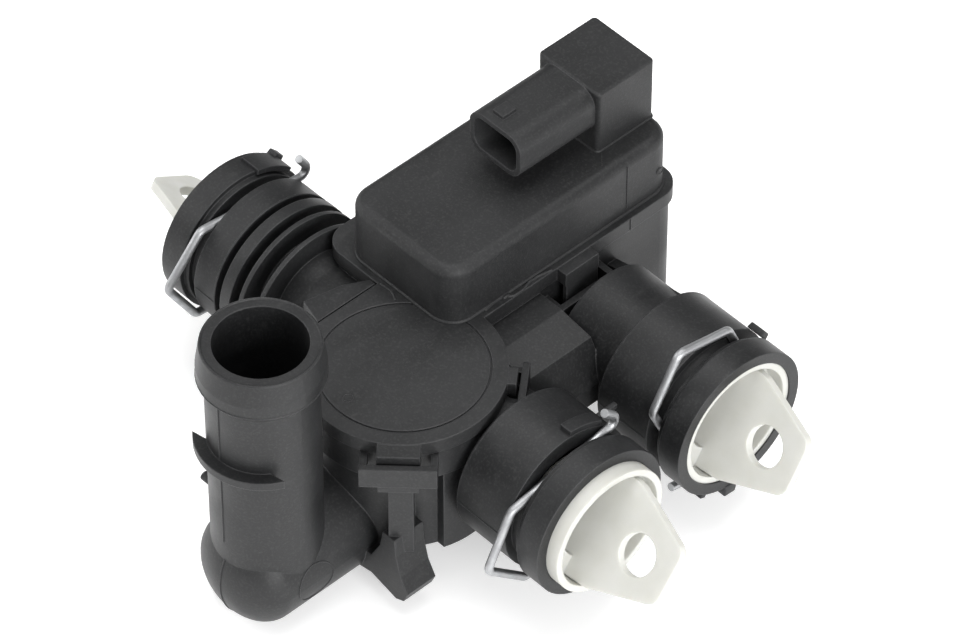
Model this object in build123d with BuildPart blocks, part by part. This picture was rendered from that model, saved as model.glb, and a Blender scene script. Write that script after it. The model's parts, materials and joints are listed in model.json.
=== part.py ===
from build123d import *
from math import acos, cos, pi, radians, sin, tan
import os

# Electric coolant diverter valve, built as separate pieces.
#
# Millimetres, +Z up.  The origin is on the rotor axis, in the flat underside of the valve chamber.
# +X points out of the front and rear sockets, +Y runs along the actuator box.

# ---------------------------------------------------------------- driving dimensions
PLATE_TOP = 29.0            # upper face of the round lid and of the plate under the actuator box
PLATE_BOTTOM = 26.0         # joint between the valve body and the plate
LID_RADIUS = 18.4
SEAT_RADIUS = 18.1          # rim of the body under the round lid
RIM_BOTTOM = 19.5
BAY_FLOOR = 15.6            # dry bay under the actuator box
GEAR_FLOOR = 19.6           # dry bay under the round lid

CHAMBER_RADIUS = 13.5
CHAMBER_WALL_RADIUS = 16.0
CHAMBER_FLOOR = 3.0
CHAMBER_TOP = 17.4
GEAR_BAY_RADIUS = 14.7
FRONT_PORT = (4.4, 10.4, 4.2)   # across, height, radius of the hole from chamber to front socket
LEFT_PORT = (5.4, 11.8, 3.6)
REAR_DUCT = (-5.8, 9.4, 4.3)

COVER_X = (-28.4, -0.6)     # actuator cover, outside
COVER_Y = (11.8, 66.2)
COVER_TOP = 42.0
COVER_WALL = 1.6
COVER_CORNER = 5.0

PLATE_X = (-33.0, 0.9)      # plate under the actuator cover
PLATE_Y = (10.3, 67.5)

SPIGOT = (-2.5, -30.1)      # upright hose spigot
SPIGOT_RADIUS = 10.0
SPIGOT_TOP = 55.0
SPIGOT_BORE = 8.4
DUCT_BORE = 8.0
DUCT_HEIGHT = 1.2           # axis of the inlet duct under the spigot
DUCT_RADIUS = 10.7

SOCKET_HEIGHT = 15.0
COLLAR_RADIUS = 14.85
BARREL_RADIUS = 14.5
GROOVE_RADIUS = 12.9        # bottom of the ring groove that holds the wire clip
MOUTH_RADIUS = 12.65
SEAL_BORE = 11.2
COLLAR_LENGTH = 5.0
ORING_DEPTH = 10.8          # seal ring behind the socket mouth
CLIP_DEPTH = 7.3            # wire clip plane behind the socket mouth
CLIP_WIRE = 0.8
CLIP_LEG = 9.9              # distance of each clip leg from the socket axis

MODULE = 0.8
PRESSURE_ANGLE = radians(25)
FREE_PLAY = 0.04            # taken off each flank of every tooth


class Socket:
    """One quick-connect socket: its frame has z out of the mouth and x along +Y."""

    def __init__(
        self, name, side, y, mouth, shoulder, neck, root, bore, clip_angle, tab_angle, plug_out,
    ):
        self.name = name
        self.neck = neck    # radius and length of the wide neck behind the barrel
        self.root = root    # radius and drop of the narrower tube that joins the body
        self.bore = bore
        self.side = side
        self.y = y
        self.mouth = mouth
        self.shoulder = shoulder
        self.clip_angle = clip_angle
        self.tab_angle = tab_angle
        self.plug_out = plug_out    # how far the plug stands out from its fully seated place

    def plane(self, depth=0.0, turn=0.0):
        return Plane(
            origin=(self.mouth - self.side * depth, self.y, SOCKET_HEIGHT),
            x_dir=(0, cos(radians(turn)), self.side * sin(radians(turn))),
            z_dir=(self.side, 0, 0),
        )


FRONT = Socket("front", 1, 8.6, 40.5, 19.8, (12.0, 1.6), (10.9, 0.0), 18.5, 190, 52, 3.0)
REAR = Socket("rear", 1, 42.5, 40.5, 19.8, (12.0, 13.3), (6.4, 4.9), 18.5, 114, 58, 0.0)
LEFT = Socket("left", -1, 9.2, -58.4, -44.5, (10.0, 16.0), (10.0, 0.0), 13.2, 186, 32, 0.0)
SOCKETS = (FRONT, REAR, LEFT)

# Gear train, from the valve rotor back to the motor: (teeth of wheel, teeth of pinion)
OUTPUT_TEETH = 34
GEAR_C = (14, 12)
GEAR_B = (24, 10)
GEAR_A = (26, 10)
MOTOR_TEETH = 10


def polar_step(start, distance, angle):
    """Point at a distance and a direction (degrees) from another point."""
    return (start[0] + distance * cos(radians(angle)), start[1] + distance * sin(radians(angle)))


def centre_distance(teeth, mating_teeth):
    return MODULE * (teeth + mating_teeth) / 2


AXLE_RADIUS = 1.0
ANGLE_C = 121.0             # direction from each axis to the next one up the train
ANGLE_B = 114.0
ANGLE_A = 91.0
ANGLE_M = 92.0
ROTOR_TRAVEL = 136.0        # degrees, front outlet to left outlet
STOP_REST = 30.0            # direction of the stop lug at rest
STOP_RADIUS = 8.5
CENTRE_C = polar_step((0, 0), centre_distance(OUTPUT_TEETH, GEAR_C[1]), ANGLE_C)
CENTRE_B = polar_step(CENTRE_C, centre_distance(GEAR_C[0], GEAR_B[1]), ANGLE_B)
CENTRE_A = polar_step(CENTRE_B, centre_distance(GEAR_B[0], GEAR_A[1]), ANGLE_A)
CENTRE_M = polar_step(CENTRE_A, centre_distance(GEAR_A[0], MOTOR_TEETH), ANGLE_M)
# Axle bosses in the body: (centre, floor they stand on, top)
BOSSES = ((CENTRE_A, BAY_FLOOR, 29.4), (CENTRE_B, BAY_FLOOR, 23.2), (CENTRE_C, BAY_FLOOR, 20.0))


def meshed_turn(direction, driver_teeth, driver_turn, teeth):
    """Turn (degrees) that puts a tooth gap where the driver has a tooth."""
    return direction + 180 + (driver_teeth * (direction - driver_turn) - 180) / teeth


def involute(angle):
    return tan(angle) - angle


def gear_outline(teeth):
    """Flat outline of a spur gear with one tooth centred on +X."""
    pitch = MODULE * teeth / 2
    base = pitch * cos(PRESSURE_ANGLE)
    root = pitch - 1.05 * MODULE
    tip = pitch + 0.8 * MODULE
    half_at_pitch = pi / (2 * teeth) - FREE_PLAY / pitch
    start = max(base, root) * 1.0005
    flank = []
    for step in range(5):
        radius = start + (tip - start) * step / 4
        half = half_at_pitch + involute(PRESSURE_ANGLE) - involute(acos(base / radius))
        flank.append((radius * cos(half), radius * sin(half)))
    foot_angle = half_at_pitch + involute(PRESSURE_ANGLE) - involute(acos(base / start))
    foot = (0.9 * root * cos(foot_angle), 0.9 * root * sin(foot_angle))
    with BuildSketch() as tooth:
        with BuildLine():
            Spline(*flank)
            Line(flank[0], foot)
            Line(foot, (foot[0], 0))
            Line(flank[-1], (tip, 0))
            Line((tip, 0), (foot[0], 0))
        make_face()
        mirror(about=Plane.XZ)
    with BuildSketch() as outline:
        Circle(root)
        with PolarLocations(0, teeth):
            add(tooth.sketch)
    return outline.sketch


def rounded_box_outline(x_range, y_range, corner):
    """Rectangle between two limits with equal round corners."""
    centre = ((x_range[0] + x_range[1]) / 2, (y_range[0] + y_range[1]) / 2)
    with BuildSketch() as outline:
        with Locations(centre):
            RectangleRounded(x_range[1] - x_range[0], y_range[1] - y_range[0], corner)
    return outline.sketch


def seat_outline(inset):
    """Outline shared by the body rim, the plate and the gasket, shrunk by an inset."""
    with BuildSketch() as outline:
        Circle(SEAT_RADIUS - inset)
        with Locations((-8.8, 7)):
            Rectangle(2 * (9.2 - inset), 14 + 2 * inset)
        add(rounded_box_outline(
            (PLATE_X[0] + 0.4 + inset, PLATE_X[1] - 0.5 - inset),
            (PLATE_Y[0] + 0.4 + inset, PLATE_Y[1] - 0.5 - inset),
            5.0 - inset,
        ))
    return outline.sketch


def plate_outline():
    """Plan of the round lid and of the plate under the actuator cover."""
    with BuildSketch() as outline:
        Circle(LID_RADIUS)
        with Locations((-9, 7)):
            Rectangle(18, 14)
        with Locations((-26, 0)):
            Rectangle(16, 60, mode=Mode.SUBTRACT)
        add(rounded_box_outline(PLATE_X, PLATE_Y, 5.0))
    return outline.sketch


def lid_edge(angle):
    """Frame on the rim of the round lid: x outward, z up."""
    outward = (cos(radians(angle)), sin(radians(angle)), 0)
    edge = (LID_RADIUS * outward[0], LID_RADIUS * outward[1], PLATE_BOTTOM)
    return Plane(origin=edge, x_dir=outward, z_dir=(0, 0, 1))


def plate_edge(x, y, outward):
    """Frame on a straight edge of the plate: x outward, z up."""
    return Plane(origin=(x, y, PLATE_BOTTOM), x_dir=outward, z_dir=(0, 0, 1))


class Snap:
    """Hook on the edge of the plate, and the strap on the body that it clips under."""

    def __init__(self, frame, half_width, bar_start, strap_bottom, strap_top):
        self.frame = frame
        self.half_width = half_width
        self.bar_start = bar_start
        self.reach = bar_start - 0.5
        self.strap_half_width = half_width + 3.0
        self.strap_bottom = strap_bottom
        self.strap_top = strap_top


SNAPS = (
    Snap(lid_edge(-45), 3.8, 3.4, -2.8, 1.5),
    Snap(lid_edge(41), 2.0, 2.0, -2.8, 1.3),
    Snap(plate_edge(PLATE_X[1], 40, (1, 0, 0)), 4.0, 2.8, -6.8, -3.0),
    Snap(plate_edge(PLATE_X[0], 40, (-1, 0, 0)), 4.0, 2.8, -6.8, -3.0),
    Snap(plate_edge(-16, PLATE_Y[1], (0, 1, 0)), 4.0, 2.8, -6.8, -3.0),
)
STRAP_BAR = 1.3
BARB_HEIGHT = 1.7

parts = []


def keep(part, label):
    """Name a finished piece and queue it for export."""
    part.label = label
    parts.append(part)


# ---------------------------------------------------------------- valve body
LOWER_CASE = rounded_box_outline(
    (PLATE_X[0] + 0.4, PLATE_X[1] - 0.5),
    (PLATE_Y[0] + 0.4, PLATE_Y[1] - 0.5),
    5.0,
)

with BuildPart() as valve_body:
    # chamber, its rim under the lid, and the case under the actuator
    with BuildSketch():
        Circle(CHAMBER_WALL_RADIUS)
    extrude(amount=PLATE_BOTTOM)
    with BuildSketch(Plane.XY.offset(RIM_BOTTOM)):
        add(seat_outline(0))
    extrude(amount=PLATE_BOTTOM - RIM_BOTTOM)
    with BuildSketch():
        add(LOWER_CASE)
    extrude(amount=PLATE_BOTTOM)
    with BuildSketch():
        Circle(17.6)
        with Locations((11, 8.6)):
            Rectangle(22, 29, mode=Mode.INTERSECT)
    extrude(amount=PLATE_BOTTOM)

    # shelf beside the straight edge of the lid
    for inner_x, bottom, top in ((-16.0, 20.5, PLATE_BOTTOM), (-18.3, PLATE_BOTTOM, PLATE_TOP)):
        with BuildSketch(Plane.XY.offset(bottom)):
            with BuildLine():
                Polyline(
                    (inner_x, -3.6), (-23.6, -2.2), (-22.0, 5.4), (-19.6, 9.8), (inner_x, 9.9), close=True,
                )
            make_face()
        extrude(amount=top - bottom)

    # ramp between the lid rim and the two right-hand barrels
    with BuildSketch(Plane.XZ.offset(-24.5)):
        with BuildLine():
            Polyline((0, 12), (0, 25), (6, 25), (13.5, 23.8), (17.5, 16.5), (17.5, 12), close=True)
        make_face()
    extrude(amount=7.8, both=True)

    # necks and barrels of the three sockets
    for socket in SOCKETS:
        barrel_length = abs(socket.mouth - socket.shoulder)
        with BuildSketch(socket.plane()):
            Circle(COLLAR_RADIUS)
        extrude(amount=-COLLAR_LENGTH)
        with BuildSketch(socket.plane(COLLAR_LENGTH)):
            Circle(13.9)
        extrude(amount=-1.2)
        with BuildSketch(socket.plane(COLLAR_LENGTH)):
            Circle(GROOVE_RADIUS)
        extrude(amount=-4.0)
        with BuildSketch(socket.plane(CLIP_DEPTH + 1.1)):
            Circle(BARREL_RADIUS)
        extrude(amount=-(barrel_length - CLIP_DEPTH - 1.1))
        with BuildSketch(socket.plane(barrel_length)):
            Circle(socket.neck[0])
        extrude(amount=-socket.neck[1])
        with BuildSketch(socket.plane(barrel_length)):
            with Locations((0, -socket.root[1])):
                Circle(socket.root[0])
        extrude(amount=-22)

    # cooling fins on the neck of the left socket, and the flare where it joins the body
    for fin_x, fin_width in ((-41.8, 2.4), (-38.1, 0.9), (-33.8, 0.9)):
        with BuildSketch(Plane.YZ.offset(fin_x)):
            with Locations((LEFT.y, SOCKET_HEIGHT)):
                Circle(14.6)
        extrude(amount=fin_width / 2, both=True)
    with BuildSketch(Plane.YZ.offset(-29)):
        with Locations((LEFT.y, SOCKET_HEIGHT)):
            Circle(10.0)
    with BuildSketch(Plane.YZ.offset(-19)):
        with Locations((LEFT.y - 1.5, SOCKET_HEIGHT - 1.8)):
            Circle(12.2)
    loft()

    # gusset from the case to the rear barrel
    with BuildSketch(Plane.XZ.offset(-50)):
        with BuildLine():
            Polyline((0, 14), (0, 20.5), (6, 22), (19.8, 24.5), (19.8, 14), close=True)
        make_face()
    extrude(amount=1.1, both=True)

    # inlet duct with its rounded end, and the upright spigot
    with BuildSketch(Plane.XZ.offset(34)):
        with Locations((SPIGOT[0], DUCT_HEIGHT)):
            Circle(DUCT_RADIUS)
    extrude(amount=-31.5)
    with BuildSketch(Plane.XY.offset(DUCT_HEIGHT)):
        with BuildLine():
            Line((SPIGOT[0], -34), (SPIGOT[0] + DUCT_RADIUS, -34))
            EllipticalCenterArc((SPIGOT[0], -34), DUCT_RADIUS, 7.4, start_angle=270, arc_size=90)
            Line((SPIGOT[0], -41.4), (SPIGOT[0], -34))
        make_face()
    revolve(axis=Axis((SPIGOT[0], 0, DUCT_HEIGHT), (0, 1, 0)))
    with BuildSketch(Plane.XY.offset(DUCT_HEIGHT)):
        with Locations(SPIGOT):
            Circle(SPIGOT_RADIUS)
    extrude(amount=SPIGOT_TOP - DUCT_HEIGHT)
    with BuildSketch(Plane.XZ.offset(-SPIGOT[1])):
        with BuildLine():
            Polyline(
                (SPIGOT[0], SPIGOT_TOP - 9), (SPIGOT[0] + SPIGOT_RADIUS, SPIGOT_TOP - 9),
                (SPIGOT[0] + 11.3, SPIGOT_TOP - 7), (SPIGOT[0] + 11.3, SPIGOT_TOP - 4.5),
                (SPIGOT[0] + 10.6, SPIGOT_TOP), (SPIGOT[0], SPIGOT_TOP), close=True,
            )
        make_face()
    revolve(axis=Axis((SPIGOT[0], SPIGOT[1], 0), (0, 0, 1)))

    # crescent hose stop and locating peg on the spigot
    with BuildSketch(Plane.XY.offset(31.2)):
        with Locations(SPIGOT):
            Circle(12.3)
        with Locations(polar_step(SPIGOT, 7.8, 101)):
            Rectangle(30, 40, rotation=101, mode=Mode.SUBTRACT)
    extrude(amount=1.7)
    with BuildSketch(Plane.YZ.offset(SPIGOT[0] - 9)):
        with Locations((SPIGOT[1] - 4.5, 16)):
            Circle(0.9)
    extrude(amount=-2.2)

    # mounting foot beside the duct, and the post up to the front strap
    with BuildSketch(Plane.XZ.offset(16.7)):
        with BuildLine():
            Polyline(
                (1.0, -5.0), (6.0, -4.9), (9.4, -4.2), (12.0, -4.9), (15.8, -5.9), (17.8, -5.0),
                (18.8, -2.6), (17.0, 0.6), (15.9, 5.0), (15.6, 9.0), (12.6, 9.0), (11.8, 5.0),
                (9.4, 0.4), (1.0, 0.0),
                close=True,
            )
        make_face()
    extrude(amount=-6.7)
    with BuildSketch(Plane.XY.offset(5)):
        with Locations(polar_step((0, 0), 18.2, -44)):
            Rectangle(6.8, 4.4, rotation=-44)
    extrude(amount=15.6)

    # straps that take the snap tongues of the plate
    for snap in SNAPS:
        bar_end = snap.bar_start + STRAP_BAR
        arm_top = min(snap.strap_top, -0.1)
        window_half_width = snap.strap_half_width - STRAP_BAR
        with BuildSketch(snap.frame.offset(snap.strap_bottom)):
            with Locations(((bar_end - 1.4) / 2, 0)):
                Rectangle(bar_end + 1.4, 2 * snap.strap_half_width)
            with Locations(((snap.bar_start - 1.6) / 2, 0)):
                Rectangle(snap.bar_start + 1.6, 2 * window_half_width, mode=Mode.SUBTRACT)
        extrude(amount=arm_top - snap.strap_bottom)
        with BuildSketch(snap.frame.offset(snap.strap_bottom)):
            with Locations((snap.bar_start + STRAP_BAR / 2, 0)):
                Rectangle(STRAP_BAR, 2 * snap.strap_half_width)
        extrude(amount=snap.strap_top - snap.strap_bottom)

    # room behind each strap for the leg and the barb of the hook
    for snap in SNAPS:
        pocket_bottom = snap.strap_bottom - BARB_HEIGHT - 0.5
        pocket_start = snap.reach - 1.3
        for pocket_end, top in ((snap.bar_start, 0.2), (snap.bar_start + 1.6, snap.strap_bottom)):
            with BuildSketch(snap.frame.offset(pocket_bottom)):
                with Locations(((pocket_start + pocket_end) / 2, 0)):
                    Rectangle(pocket_end - pocket_start, 2 * snap.half_width + 0.6)
            extrude(amount=top - pocket_bottom, mode=Mode.SUBTRACT)

    # round bores of the sockets, with the O-ring grooves and the slots for the clip legs
    for socket in SOCKETS:
        with BuildSketch(socket.plane()):
            Circle(MOUTH_RADIUS)
        extrude(amount=-5.4, mode=Mode.SUBTRACT)
        with BuildSketch(socket.plane(5.4)):
            Circle(SEAL_BORE)
        extrude(amount=5.4 - socket.bore, mode=Mode.SUBTRACT)
        with BuildSketch(socket.plane(ORING_DEPTH - 1.15)):
            Circle(12.5)
        extrude(amount=-2.3, mode=Mode.SUBTRACT)
        for leg_side in (1, -1):
            with BuildSketch(socket.plane(CLIP_DEPTH - 1.1, socket.clip_angle)):
                with Locations((0, leg_side * 11.6)):
                    Rectangle(19.2, 5.2)
            extrude(amount=-2.2, mode=Mode.SUBTRACT)

    # wet chamber, the seat of its cover, and the dry bays above
    with BuildSketch(Plane.XY.offset(CHAMBER_FLOOR)):
        Circle(CHAMBER_RADIUS)
    extrude(amount=CHAMBER_TOP - CHAMBER_FLOOR, mode=Mode.SUBTRACT)
    with BuildSketch(Plane.XY.offset(CHAMBER_TOP)):
        Circle(14.4)
    extrude(amount=GEAR_FLOOR - CHAMBER_TOP, mode=Mode.SUBTRACT)
    with BuildSketch(Plane.XY.offset(GEAR_FLOOR)):
        Circle(GEAR_BAY_RADIUS)
        with Locations(CENTRE_C):
            Circle(6.8)
    extrude(amount=PLATE_BOTTOM - GEAR_FLOOR, mode=Mode.SUBTRACT)
    with BuildSketch(Plane.XY.offset(BAY_FLOOR)):
        add(rounded_box_outline((-30.2, -2.0), (16.4, 64.6), 2.6))
    extrude(amount=PLATE_BOTTOM - BAY_FLOOR, mode=Mode.SUBTRACT)

    # bosses that carry the gear axles
    for centre, floor, top in BOSSES:
        with BuildSketch(Plane.XY.offset(floor)):
            with Locations(centre):
                Circle(2.2)
        extrude(amount=top - floor)
        with BuildSketch(Plane.XY.offset(floor - 1.2)):
            with Locations(centre):
                Circle(AXLE_RADIUS)
        extrude(amount=top - floor + 1.2, mode=Mode.SUBTRACT)

    # gasket groove in the rim
    with BuildSketch(Plane.XY.offset(PLATE_BOTTOM - 0.9)):
        add(seat_outline(0.7))
        add(seat_outline(1.7), mode=Mode.SUBTRACT)
    extrude(amount=0.9, mode=Mode.SUBTRACT)

    # ports: front and left sockets to the chamber, and the long duct to the rear socket
    with BuildSketch(Plane.YZ.offset(9)):
        with Locations(FRONT_PORT[:2]):
            Circle(FRONT_PORT[2])
    extrude(amount=15, mode=Mode.SUBTRACT)
    with BuildSketch(Plane.YZ.offset(-34)):
        with Locations(LEFT_PORT[:2]):
            Circle(LEFT_PORT[2])
    extrude(amount=25, mode=Mode.SUBTRACT)
    with BuildSketch(Plane.YZ.offset(-47)):
        with Locations((LEFT.y, SOCKET_HEIGHT)):
            Circle(8.0)
    extrude(amount=14, mode=Mode.SUBTRACT)
    with BuildSketch(Plane.XZ.offset(-8)):
        with Locations(REAR_DUCT[:2]):
            Circle(REAR_DUCT[2])
    extrude(amount=8 - REAR.y, mode=Mode.SUBTRACT)
    with BuildSketch(Plane.YZ.offset(REAR_DUCT[0] - REAR_DUCT[2])):
        with Locations((REAR.y, REAR_DUCT[1])):
            Circle(REAR_DUCT[2])
    extrude(amount=34, mode=Mode.SUBTRACT)

    # spigot bore, duct bore and the sump that feeds the rotor from below
    with BuildSketch(Plane.XY.offset(DUCT_HEIGHT - 3)):
        with Locations(SPIGOT):
            Circle(SPIGOT_BORE)
    extrude(amount=SPIGOT_TOP + 5, mode=Mode.SUBTRACT)
    with BuildSketch(Plane.XZ.offset(34)):
        with Locations((SPIGOT[0], DUCT_HEIGHT)):
            Circle(DUCT_BORE)
    extrude(amount=-17.4, mode=Mode.SUBTRACT)
    with BuildSketch(Plane.XZ.offset(17)):
        with Locations((SPIGOT[0], DUCT_HEIGHT)):
            Circle(DUCT_BORE)
        with Locations((SPIGOT[0], CHAMBER_FLOOR + 6)):
            Rectangle(20, 12, mode=Mode.SUBTRACT)
    extrude(amount=-12.5, mode=Mode.SUBTRACT)

keep(valve_body.part, "valve_body")


# ---------------------------------------------------------------- actuator plate and cover
with BuildPart() as actuator_plate:
    with BuildSketch(Plane.XY.offset(PLATE_BOTTOM)):
        add(plate_outline())
    extrude(amount=PLATE_TOP - PLATE_BOTTOM)
    # circular groove around the lid
    with BuildSketch(Plane.XY.offset(PLATE_TOP - 0.35)):
        Circle(15.5)
        Circle(15.1, mode=Mode.SUBTRACT)
    extrude(amount=0.35, mode=Mode.SUBTRACT)
    # window into the space under the cover
    with BuildSketch(Plane.XY.offset(PLATE_BOTTOM)):
        add(rounded_box_outline((COVER_X[0] + COVER_WALL, COVER_X[1] - COVER_WALL), (14.0, 64.6), 3.4))
    extrude(amount=PLATE_TOP - PLATE_BOTTOM, mode=Mode.SUBTRACT)
    # snap tongues with their barbs
    for snap in SNAPS:
        barb_bottom = snap.strap_bottom - BARB_HEIGHT - 0.1
        with BuildSketch(snap.frame):
            with Locations(((snap.reach - 1) / 2, 0)):
                Rectangle(snap.reach + 1, 2 * snap.half_width)
        extrude(amount=PLATE_TOP - PLATE_BOTTOM - 0.1)
        with BuildSketch(snap.frame.offset(barb_bottom)):
            with Locations((snap.reach - 0.5, 0)):
                Rectangle(1.0, 2 * snap.half_width - 0.4)
        extrude(amount=0.2 - barb_bottom)
        with BuildSketch(snap.frame.offset(barb_bottom)):
            with Locations(((snap.reach + snap.bar_start) / 2, 0)):
                Rectangle(snap.bar_start - snap.reach + 1.6, 2 * snap.half_width - 0.4)
        extrude(amount=BARB_HEIGHT)
    # two stops under the lid for the lug of the output gear
    for stop_angle in (STOP_REST - 18.5, STOP_REST + ROTOR_TRAVEL + 18.5):
        with BuildSketch(Plane.XY.offset(23.2)):
            with Locations(polar_step((0, 0), STOP_RADIUS, stop_angle)):
                Rectangle(2.4, 2.4, rotation=stop_angle)
        extrude(amount=PLATE_BOTTOM - 23.2)

keep(actuator_plate.part, "actuator_plate")

BLOCK_X = (-21.2, -5.8)     # square connector turret on the cover
BLOCK_Y = (51.9, 65.8)
BLOCK_TOP = 56.0
SHROUD_CENTRE = (-13.1, 51.0)
SHROUD_MOUTH = 34.0
PIN_X = (-17.3, -14.5, -11.7, -8.9)

with BuildPart() as connector_pins:
    for pin_x in PIN_X:
        with BuildSketch(Plane.XY.offset(37.6)):
            with Locations((pin_x, 58)):
                Rectangle(0.6, 0.8)
        extrude(amount=SHROUD_CENTRE[1] + 0.4 - 37.6)
        with BuildSketch(Plane.XZ.offset(-58.4)):
            with Locations((pin_x, SHROUD_CENTRE[1])):
                Rectangle(0.6, 0.8)
        extrude(amount=58.4 - SHROUD_MOUTH - 4)

with BuildPart() as actuator_cover:
    with BuildSketch(Plane.XY.offset(PLATE_TOP)):
        add(rounded_box_outline(COVER_X, COVER_Y, COVER_CORNER))
    extrude(amount=COVER_TOP - PLATE_TOP)
    fillet(actuator_cover.faces().sort_by(Axis.Z)[-1].outer_wire().edges(), 1.9)
    # connector turret
    with BuildSketch(Plane.XY.offset(COVER_TOP - 1)):
        add(rounded_box_outline(BLOCK_X, BLOCK_Y, 0.9))
    extrude(amount=BLOCK_TOP - COVER_TOP + 1)
    fillet(actuator_cover.faces().sort_by(Axis.Z)[-1].outer_wire().edges(), 0.5)
    # connector shroud with its coding rib and latch ramp
    with BuildSketch(Plane.XZ.offset(-BLOCK_Y[0] - 0.5)):
        with Locations(SHROUD_CENTRE):
            RectangleRounded(13.0, 9.5, 3.2)
    extrude(amount=BLOCK_Y[0] + 0.5 - SHROUD_MOUTH)
    with BuildSketch(Plane.XZ.offset(-SHROUD_MOUTH - 5)):
        with Locations((SHROUD_CENTRE[0] - 1.2, SHROUD_CENTRE[1] + 4.9)):
            Rectangle(2.6, 1.4)
    extrude(amount=3.2)
    with BuildSketch(Plane.XZ.offset(-SHROUD_MOUTH - 15.5)):
        with Locations(SHROUD_CENTRE):
            RectangleRounded(10.8, 7.3, 2.2)
    extrude(amount=20, mode=Mode.SUBTRACT)
    # hollow inside, with four pegs for the circuit board
    with BuildSketch(Plane.XY.offset(PLATE_TOP)):
        add(rounded_box_outline(
            (COVER_X[0] + COVER_WALL, COVER_X[1] - COVER_WALL),
            (COVER_Y[0] + COVER_WALL, COVER_Y[1] - COVER_WALL),
            COVER_CORNER - COVER_WALL,
        ))
    extrude(amount=COVER_TOP - PLATE_TOP - COVER_WALL, mode=Mode.SUBTRACT)
    with BuildSketch(Plane.XY.offset(COVER_TOP - COVER_WALL)):
        with Locations((-14.5, 39)):
            with GridLocations(19, 43, 2, 2):
                Circle(1.4)
    extrude(amount=-1.0)
    with BuildSketch(Plane.XY.offset(COVER_TOP - COVER_WALL)):
        with Locations((-14.5, 39)):
            with GridLocations(19, 43, 2, 2):
                Circle(0.8)
    extrude(amount=-2.6)
    add(connector_pins.part, mode=Mode.SUBTRACT)

keep(actuator_cover.part, "actuator_cover")
keep(connector_pins.part, "connector_pins")

with BuildPart() as rim_gasket:
    with BuildSketch(Plane.XY.offset(PLATE_BOTTOM - 0.9)):
        add(seat_outline(0.75))
        add(seat_outline(1.65), mode=Mode.SUBTRACT)
    extrude(amount=0.9)
keep(rim_gasket.part, "rim_gasket")


# ---------------------------------------------------------------- circuit board
BOARD_BOTTOM = 38.0
BOARD_TOP = 39.4

with BuildPart() as circuit_board:
    with BuildSketch(Plane.XY.offset(BOARD_BOTTOM)):
        with Locations((-14.5, 39)):
            RectangleRounded(23.2, 49.6, 2)
            with GridLocations(19, 43, 2, 2):
                Circle(0.8, mode=Mode.SUBTRACT)
        with Locations(*[(pin_x, 58) for pin_x in PIN_X]):
            Rectangle(0.6, 0.8, mode=Mode.SUBTRACT)
    extrude(amount=BOARD_TOP - BOARD_BOTTOM)
keep(circuit_board.part, "circuit_board")

with BuildPart() as board_parts:
    # driver chip, two capacitors and a choke hang under the board, clear of the gears
    with Locations((-14.5, 22, BOARD_BOTTOM)):
        Box(7, 7, 1.6, align=(Align.CENTER, Align.CENTER, Align.MAX))
    with Locations((-22, 21.5, BOARD_BOTTOM), (-22, 26.5, BOARD_BOTTOM)):
        Cylinder(2.2, 4.6, align=(Align.CENTER, Align.CENTER, Align.MAX))
    with Locations((-6.5, 24, BOARD_BOTTOM)):
        Box(4.5, 5.5, 3.2, align=(Align.CENTER, Align.CENTER, Align.MAX))
keep(board_parts.part, "board_parts")


# ---------------------------------------------------------------- drive motor
CAN_BOTTOM = 16.4
CAN_TOP = 32.4
CAN_RADIUS = 9.5
SHAFT_RADIUS = 0.75
TERMINALS = tuple((CENTRE_M[0] + side * 7.0, CENTRE_M[1] + 4) for side in (-1, 1))


def motor_disc(radius, bottom, top):
    """Disc around the motor axis."""
    with BuildPart() as disc:
        with BuildSketch(Plane.XY.offset(bottom)):
            with Locations(CENTRE_M):
                Circle(radius)
        extrude(amount=top - bottom)
    return disc.part


def motor_ring(outer, inner, bottom, top):
    """Ring around the motor axis."""
    with BuildPart() as ring:
        add(motor_disc(outer, bottom, top))
        add(motor_disc(inner, bottom, top), mode=Mode.SUBTRACT)
    return ring.part


keep(motor_ring(CAN_RADIUS, 4.0, BAY_FLOOR, CAN_BOTTOM), "motor_pad")

with BuildPart() as motor_can:
    add(motor_ring(CAN_RADIUS, SHAFT_RADIUS + 0.03, CAN_BOTTOM, CAN_BOTTOM + 0.8))
    add(motor_ring(CAN_RADIUS, CAN_RADIUS - 0.7, CAN_BOTTOM + 0.8, CAN_TOP))
keep(motor_can.part, "motor_can")

with BuildPart() as motor_end_cap:
    add(motor_ring(CAN_RADIUS - 0.7, SHAFT_RADIUS + 0.03, CAN_TOP - 1.0, CAN_TOP))
    add(motor_ring(2.6, SHAFT_RADIUS + 0.03, CAN_TOP, CAN_TOP + 0.8))
    with BuildSketch(Plane.XY.offset(CAN_TOP - 1.0)):
        with Locations(*TERMINALS):
            Rectangle(1.2, 0.5)
    extrude(amount=1.0, mode=Mode.SUBTRACT)
keep(motor_end_cap.part, "motor_end_cap")

with BuildPart() as motor_terminals:
    with BuildSketch(Plane.XY.offset(CAN_TOP - 1.0)):
        with Locations(*TERMINALS):
            Rectangle(1.2, 0.5)
    extrude(amount=BOARD_BOTTOM - CAN_TOP + 1.0)
keep(motor_terminals.part, "motor_terminals")

with BuildPart() as motor_magnets:
    add(motor_ring(CAN_RADIUS - 0.7, 7.3, CAN_BOTTOM + 2, CAN_TOP - 3))
    with BuildSketch(Plane.XY.offset(CAN_BOTTOM)):
        with Locations(CENTRE_M):
            Rectangle(7, 24)
    extrude(amount=20, mode=Mode.SUBTRACT)
keep(motor_magnets.part, "motor_magnets")

with BuildPart() as motor_brushes:
    with BuildSketch(Plane.XY.offset(CAN_TOP - 2.6)):
        with Locations(CENTRE_M):
            with PolarLocations(3.6, 2):
                Rectangle(2.0, 1.6)
    extrude(amount=1.6)
keep(motor_brushes.part, "motor_brushes")

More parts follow.
